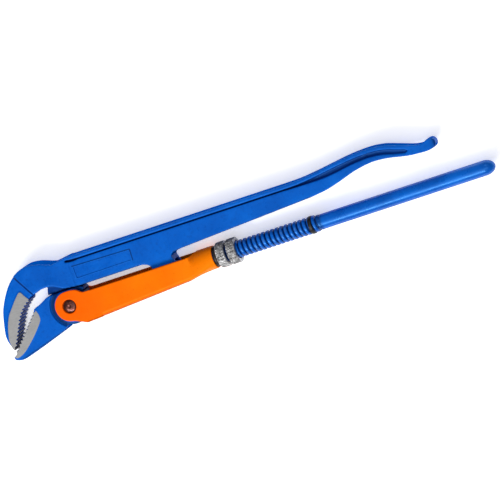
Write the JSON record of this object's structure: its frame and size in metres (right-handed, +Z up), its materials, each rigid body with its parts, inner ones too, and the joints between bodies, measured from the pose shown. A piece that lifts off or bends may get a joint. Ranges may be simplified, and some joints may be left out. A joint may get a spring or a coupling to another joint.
{
  "type": "pipe wrench",
  "caption": "Heavy Swedish-pattern pipe wrench with a 45 degree hooked nose, a sliding lower jaw held by an orange folded link, a ring nut on a threaded lower handle and a blue forged leg.",
  "frame": {"origin": "centre of the bounding box seen from above, on the plane the tool lies on", "axes": "+X along the threaded handle away from the jaws, +Y from the threaded handle towards the forged leg, +Z up through the side the picture shows"},
  "size_m": [0.432, 0.0734, 0.0248],
  "materials": {
    "blue_paint": "satin",
    "orange_paint": "satin",
    "plain_steel": "ground",
    "dark_steel": "oiled dark oxide",
    "black_steel": "blackened",
    "zinc_steel": "rough knurled"
  },
  "bodies": {
    "upper_leg": {"fixed_jaw_handle": "blue_paint", "handle_pivot_pin": "plain_steel"},
    "lower_jaw": {"moving_jaw": "blue_paint"},
    "link": {"link": "orange_paint", "link_rivet": "dark_steel"},
    "lower_handle": {"threaded_handle": "blue_paint", "nut_stop_ring": "black_steel"},
    "washer": {"thrust_washer": "black_steel"},
    "front_nut": {"adjusting_nut": "zinc_steel"},
    "rear_nut": {"lock_nut": "zinc_steel"}
  },
  "joints": [
    {"name": "jaw_slide", "type": "slide", "parent": "upper_leg", "child": "lower_jaw", "axis": [1, 0, 0], "range_m": [0, 0.052]},
    {"name": "handle_pivot", "type": "hinge", "parent": "upper_leg", "child": "lower_handle", "pos_m": [-0.066, -0.0073, 0.0124], "axis": [0, 0, 1], "range_deg": [-1, 1]},
    {"name": "link_pivot", "type": "hinge", "parent": "lower_jaw", "child": "link", "pos_m": [-0.155, -0.0073, 0.0124], "axis": [0, 0, 1], "range_deg": [-0.6, 0.6]},
    {"name": "washer_slide", "type": "slide", "parent": "lower_handle", "child": "washer", "axis": [1, 0, 0], "range_m": [0, 0.052]},
    {"name": "front_nut_spin", "type": "hinge", "parent": "washer", "child": "front_nut", "pos_m": [-0.022, -0.0073, 0.0124], "axis": [1, 0, 0], "range_deg": [0, 4681]},
    {"name": "rear_nut_spin", "type": "hinge", "parent": "washer", "child": "rear_nut", "pos_m": [-0.0126, -0.0073, 0.0124], "axis": [1, 0, 0], "range_deg": [0, 4681]}
  ],
  "couplings": [
    {"joint": "link_pivot", "follows": "handle_pivot", "ratio": 0.53},
    {"joint": "washer_slide", "follows": "jaw_slide", "ratio": 1},
    {"joint": "front_nut_spin", "follows": "jaw_slide", "rad_per_m": 1570.8},
    {"joint": "rear_nut_spin", "follows": "jaw_slide", "rad_per_m": 1570.8}
  ]
}
